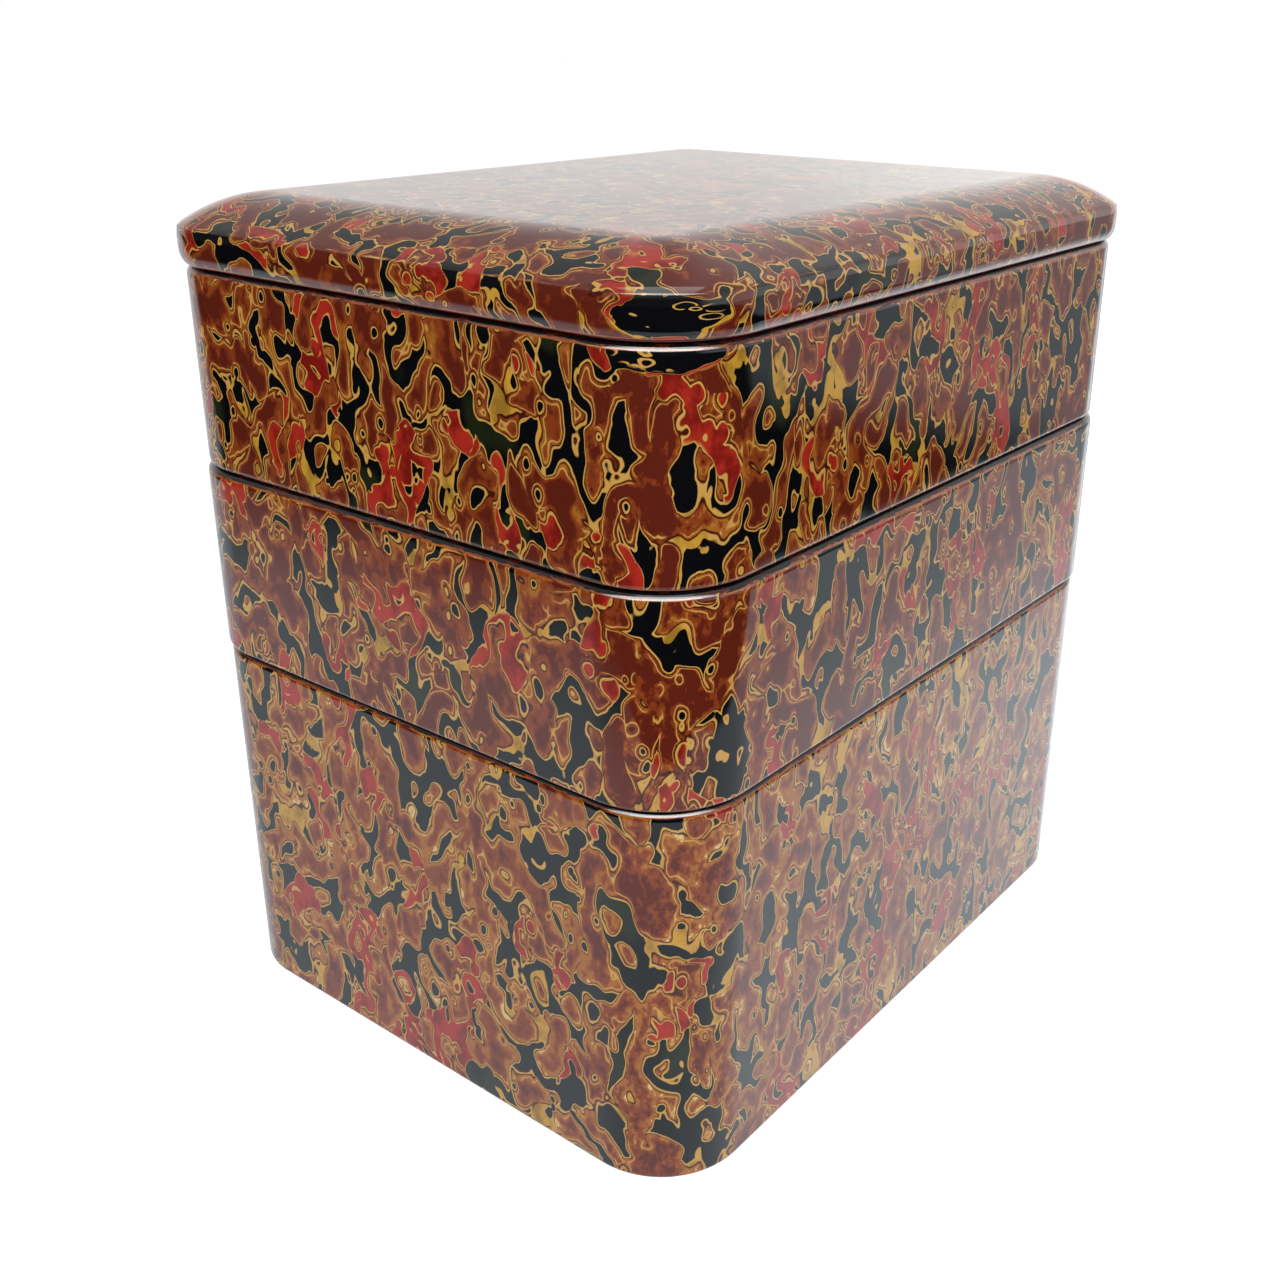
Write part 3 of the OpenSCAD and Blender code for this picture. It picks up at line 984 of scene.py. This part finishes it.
# %% Lacquer group
SLOW_WANDER, SLOW_WANDER_REACH = 8, 2.4
FAST_WANDER, FAST_WANDER_REACH = 3.6, 0.7
FLOW_SIZE, RED_INSIDE = 11, -0.8
PEEL_SIZE, DUST_SIZE, DUST_RELIEF = 11, 1.1, 0.02
POLISH_SIZE, POLISH_SWING, POLISH = 30, 0.05, 0.03


def lacquer_group():
    """Builds the node group that turns a place into the lacquer's colour, polish and relief."""
    group = empty_group("uneven_coats", GROUP_ENDS)
    given = group.nodes.new("NodeGroupInput").outputs
    place = given["Place"]
    warped = wandered(group, place, SLOW_WANDER, SLOW_WANDER_REACH)
    warped = wandered(group, warped, FAST_WANDER, FAST_WANDER_REACH)
    flow_place = moved(group, place, PARTS["flow"])
    flow = noise(group, flow_place, FLOW_SIZE, detail=1.0, roughness=0.3, output="Color")
    flows = add(group, "ShaderNodeSeparateXYZ", {0: flow}).outputs
    red_zone = vermilion_zone(group, warped, given["Red share"], given["Corner wear and shade"])
    island = island_distance(group, place, warped, flows[0], given["Spread"])
    island = plus(group, island, red_zone, RED_INSIDE)

    cloud_place = moved(group, warped, PARTS["clouds"])
    cloud = noise(group, cloud_place, CLOUD_SIZE, detail=4.0, roughness=0.6)
    slow = noise(group, moved(group, place, PARTS["slow"]), SLOW_SIZE, detail=1.0, roughness=0.4)
    glow = island_thinning_and_corner_shade(group, given, island, flows[0], cloud, slow)
    brown = island_brown(group, place, glow)
    colour = coats_colour(group, given, rings(group, island, red_zone, flows), brown, cloud, slow)
    colour = with_rims_worn_and_shaded(group, given, with_ovals(group, given, colour))

    peel = noise(group, place, PEEL_SIZE, detail=1.0, roughness=0.4)
    relief = plus(group, peel, noise(group, place, DUST_SIZE), DUST_RELIEF)
    cloudy = noise(group, place, POLISH_SIZE, detail=3.0, roughness=0.6)
    polish = calc(group, "MULTIPLY_ADD", cloudy, POLISH_SWING, POLISH)
    add(group, "NodeGroupOutput", {"Colour": colour, "Roughness": polish, "Relief": relief})
    return group


coats = lacquer_group()
print("lacquer group has", len(coats.nodes), "nodes")

# %% [markdown]
# ## Where the lacquer is worn, and where shade is painted
#
# Handling rubs the round corners, the rims and the arris of the lid, and a pool of black gathers on the
# near corner just under and over the lid's edge. Past the wear, the very edges of rims and feet are
# painted with seam shade, and the brown on the round corners is painted a little darker as shade. Each
# is a measure of the place on the box, so the four coats agree about it although each has its own
# pattern.

# %% Wear, painted shade and pool
CORNER_WEAR_AND_SHADE = (-6 * MM, 8 * MM)
ARRIS_HEIGHT, ARRIS_WORN, ARRIS_STRENGTH = lid_low.z + BAND, 0.9 * MM, 0.13
POOL_TURN = math.radians(42)
POOL_FLATNESS, POOL_REACH, POOL_FULL, POOL_DEPTH = 3.2, 15 * MM, 7.5 * MM, 0.6

pool_x = CENTRE_X + CORNER * math.sin(POOL_TURN)
pool_y = -CENTRE_Y - CORNER * math.cos(POOL_TURN)


def corner_wear_and_shade(tree, x, y):
    """How far a place lies on one of the round corners, as a socket."""
    past_x = calc(tree, "SUBTRACT", calc(tree, "ABSOLUTE", x), CENTRE_X)
    past_y = calc(tree, "SUBTRACT", calc(tree, "ABSOLUTE", y), CENTRE_Y)
    return ramp(tree, calc(tree, "MINIMUM", past_x, past_y), *CORNER_WEAR_AND_SHADE)


def rim_wear_and_shade(tree, z, rims):
    """How far a place is rubbed and, past that, painted with seam shade, from the heights where each
    rim's wear starts and is full.
    """
    from_arris = calc(tree, "ABSOLUTE", calc(tree, "SUBTRACT", z, ARRIS_HEIGHT))
    worn = calc(tree, "MULTIPLY", ramp(tree, from_arris, ARRIS_WORN, 0.0), ARRIS_STRENGTH)
    for start, full in rims:
        worn = calc(tree, "MAXIMUM", worn, ramp(tree, z, start, full))
    return worn


def pooled_spread(tree, where, height):
    """The share of black, raised round the near corner at a height, as a socket."""
    away = vector_math(tree, "SUBTRACT", where, (pool_x, pool_y, height))
    flat = vector_math(tree, "MULTIPLY", away.outputs[0], (1, 1, POOL_FLATNESS))
    distance = vector_math(tree, "LENGTH", flat.outputs[0]).outputs["Value"]
    return calc(tree, "MULTIPLY_ADD", ramp(tree, distance, POOL_REACH, POOL_FULL), POOL_DEPTH, SPREAD)


# %% [markdown]
# ## Four coats of mottled lacquer
#
# Every tier and the lid were lacquered apart, so each gets the group with its own part of the pattern,
# its own tone and its own share of vermilion. On the tiers the pattern is drawn out upwards. The coat is
# a plain glossy dielectric: the shine comes from the lacquer's index, not from a metal or a second coat.

# %% Mottled lacquer
LACQUER_IOR = 1.5
FINER, DRAWN_OUT = 1.13, 0.72
PEEL_STRENGTH, PEEL_HEIGHT = 0.35, 0.1 * MM


def glossy(tree, colour, roughness, height, strength, distance, ior):
    """Ends a material with one glossy lacquer body."""
    bump = add(tree, "ShaderNodeBump", {"Height": height, "Strength": strength, "Distance": distance})
    inputs = {"Base Color": colour, "Roughness": roughness, "Normal": bump.outputs[0], "IOR": ior}
    body = add(tree, "ShaderNodeBsdfPrincipled", inputs)
    add(tree, "ShaderNodeOutputMaterial", {"Surface": body.outputs[0]})


def mottled_lacquer(name, offset, tone, red_share, rims, stretch=DRAWN_OUT, pool=None, depth=BLACK):
    """One coat of mottled lacquer from its own part of the pattern, worn at corners and rims."""
    material = bpy.data.materials.new("mottled_lacquer_" + name)
    tree = new_tree(material)
    where = add(tree, "ShaderNodeTexCoord").outputs["Object"]
    x, y, z = add(tree, "ShaderNodeSeparateXYZ", {0: where}).outputs
    inputs = {"Vector": where, "Location": offset, "Scale": (FINER, FINER, FINER * stretch)}
    values = {
        "Place": add(tree, "ShaderNodeMapping", inputs).outputs[0],
        "Tone": tone,
        "Red share": red_share,
        "Corner wear and shade": corner_wear_and_shade(tree, x, y),
        "Rim wear and shade": rim_wear_and_shade(tree, z, rims),
        "Edge colour and seam shade": depth,
    }
    if pool is not None:
        values["Spread"] = pooled_spread(tree, where, pool)
    coat = add(tree, "ShaderNodeGroup", node_tree=coats)
    for key, value in values.items():
        feed(tree, coat, key, value)
    out = coat.outputs
    glossy(tree, out["Colour"], out["Roughness"], out["Relief"], PEEL_STRENGTH, PEEL_HEIGHT, LACQUER_IOR)
    return material


# %% The four coats
# Past its wear, each rim and foot is painted with seam shade at the very edge; under the lid that shade
# is dark red.
RIM_WEAR_AND_SHADE, FOOT_WEAR_AND_SHADE = (-2.0 * MM, -0.4 * MM), (1.0 * MM, 0.1 * MM)
LID_FOOT_WEAR_AND_SHADE = (1.1 * MM, 0.3 * MM)
TIER_POOL, LID_POOL = 198 * MM, 205 * MM
LID_EDGE_AND_SEAM_SHADE = (0.09, 0.003, 0.003, 1.0)


COATS = {
    "bottom": {"offset": (0.0, 0.0, 0.0), "tone": 0.04, "red_share": -3.0},
    "middle": {"offset": (0.4, 0.2, 0.3), "tone": -0.15, "red_share": -2.8},
    "top": {"offset": (0.9, 0.5, 0.7), "tone": -0.17, "red_share": -3.0, "pool": TIER_POOL},
    "lid": {"offset": (1.3, 0.8, 0.2), "tone": -0.26, "red_share": -3.8, "pool": LID_POOL},
}
COATS["lid"].update(stretch=1.0, depth=LID_EDGE_AND_SEAM_SHADE)


def rims_worn_and_shaded(piece):
    """The heights where the wear and painted seam shade of each rim of a tier or the lid start and where
    they are full.
    """
    if piece == "lid":
        return [[lid_low.z + step for step in LID_FOOT_WEAR_AND_SHADE]]
    low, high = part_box(piece + "_corner_posts")
    return [[high.z + step for step in RIM_WEAR_AND_SHADE], [low.z + step for step in FOOT_WEAR_AND_SHADE]]


lacquers = {piece: mottled_lacquer(piece, rims=rims_worn_and_shaded(piece), **coat) for piece, coat in COATS.items()}
print("coats of mottled lacquer:", ", ".join(lacquers))

# %% [markdown]
# ## Plain lacquer
#
# Inside, the box has one colour of lacquer, brushed on and not polished, and the slips under the tiers
# and the lid are black. A brushed coat is a little duller, shows faint drag along the stroke, and is
# darker where it pooled. One flat colour would look like plastic next to the mottled outside.

# %% Plain lacquer
PLAIN_IOR = 1.54
STROKE_SIZE, STROKE_LENGTH = 1.6, (1, 0.06, 1)
SHADE_SIZE, SHADE_SPAN, SHADE_POLISH = 34, (0.3, 0.7), 0.12
DRAG_STRENGTH, DRAG_HEIGHT = 0.3, 0.08 * MM


def plain_lacquer(name, colour, pooled, roughness):
    """A single colour of lacquer, brushed on, with faint brush drag and pooled shade."""
    material = bpy.data.materials.new(name)
    tree = new_tree(material)
    where = add(tree, "ShaderNodeTexCoord").outputs["Object"]
    drag = stretched(tree, where, STROKE_LENGTH)
    strokes = noise(tree, drag, STROKE_SIZE, detail=3.0, roughness=0.55)
    pools = noise(tree, where, SHADE_SIZE, detail=3.0, roughness=0.6)
    shade = blend(tree, ramp(tree, pools, *SHADE_SPAN), pooled, colour)
    polish = calc(tree, "MULTIPLY_ADD", pools, SHADE_POLISH, roughness)
    glossy(tree, shade, polish, strokes, DRAG_STRENGTH, DRAG_HEIGHT, PLAIN_IOR)
    return material


INSIDE_RED, POOLED_RED = (0.24, 0.02, 0.012, 1.0), (0.15, 0.011, 0.008, 1.0)
SLIP_BLACK, POOLED_BLACK = (0.012, 0.01, 0.009, 1.0), (0.005, 0.004, 0.004, 1.0)
inside_red = plain_lacquer("red_lacquer", INSIDE_RED, POOLED_RED, roughness=0.16)
slip_black = plain_lacquer("black_lacquer", SLIP_BLACK, POOLED_BLACK, roughness=0.2)

# %% [markdown]
# ## Dressing the box
#
# Each shell takes the place of the boards and posts that it covers and rides on their tier, so it lifts
# off with it. Floor panels and slips are seen as they are, so their CAD nodes stay and only get a finish.

# %% Dress the shells
SIDES = ("front", "back", "left", "right")

for tier, shell in shells.items():
    shell.data.materials.append(lacquers[tier])
    shell.data.materials.append(inside_red)
    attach(shell, tier + "_tier")
    boards = [tier + "_" + side + "_board" for side in SIDES]
    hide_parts(tier + "_corner_posts", *boards)
    print(shell.name, "covers", len(boards) + 1, "nodes")

# %% Dress the lid
lid.data.materials.append(lacquers["lid"])
lid.data.materials.append(inside_red)
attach(lid, "lid")
rims = ["lid_" + side + "_rim" for side in SIDES]
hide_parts("lid_corner_blocks", "lid_crowned_panel", *rims)
print(lid.name, "covers", len(rims) + 2, "nodes")


# %% Finish floors and slips
def finish_of(name):
    """The plain lacquer of a node that stays, or None where a shell covers it."""
    if "floor" in name:
        return inside_red
    return slip_black if "slips" in name else None


for name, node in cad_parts.items():
    finish = finish_of(name)
    if finish:
        node.data.materials.clear()
        node.data.materials.append(finish)
        print(name, "gets", finish.name)
